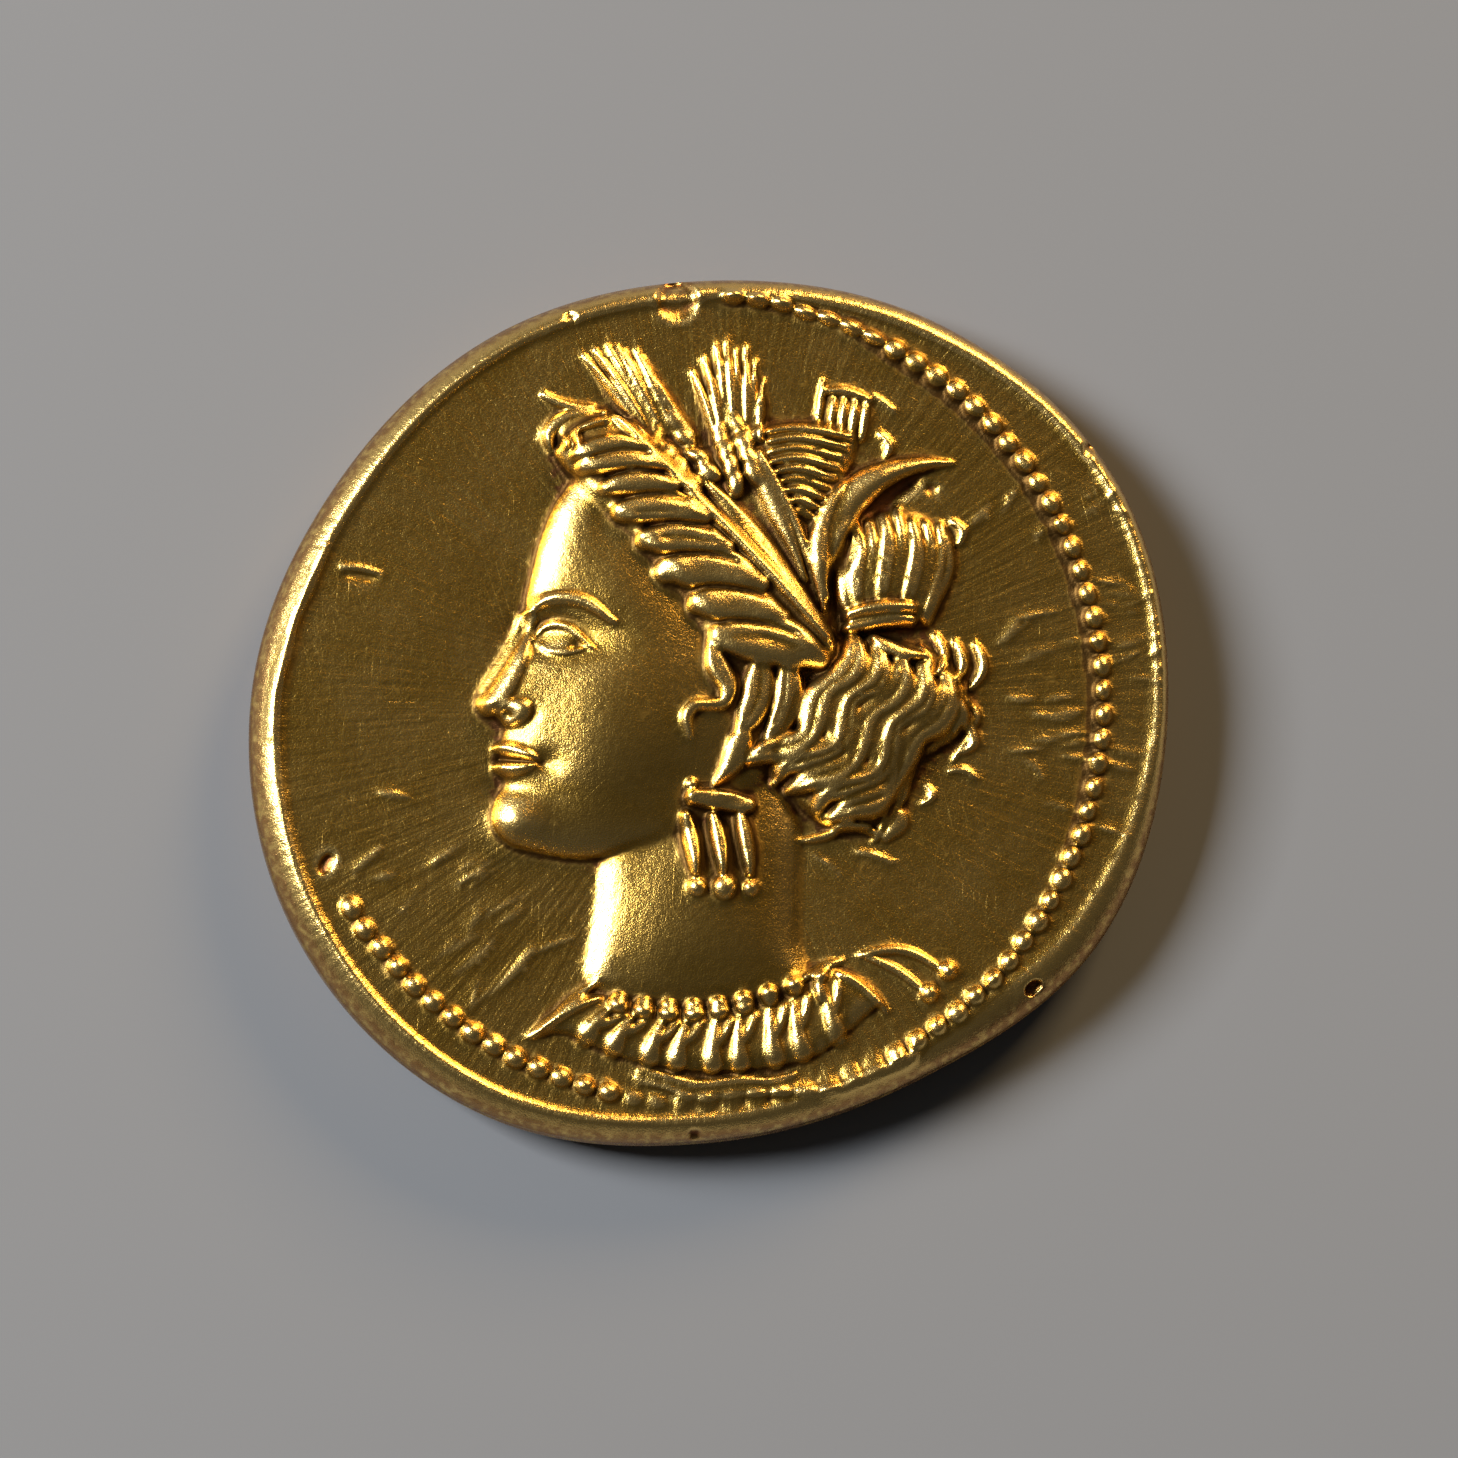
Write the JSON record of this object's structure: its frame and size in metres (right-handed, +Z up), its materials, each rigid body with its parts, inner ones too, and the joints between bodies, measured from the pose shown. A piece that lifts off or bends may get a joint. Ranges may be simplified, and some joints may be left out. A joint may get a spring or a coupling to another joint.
{
  "type": "ancient gold coin",
  "caption": "Thick irregular struck gold coin with a wreathed female head in high relief to the left inside a border of dots, and a barley ear on the back.",
  "frame": {"origin": "centre of the coin's outline, on the plane of the raised ring it stands on", "axes": "+Z up out of the obverse, +Y towards the top of the design, +X to the viewer's right along the longer width"},
  "size_m": [0.0224, 0.0212, 0.0028],
  "materials": {
    "coin_gold": "worn struck gold, satin, brown toning in the recesses"
  },
  "bodies": {
    "root": {"coin": "coin_gold"}
  },
  "joints": []
}
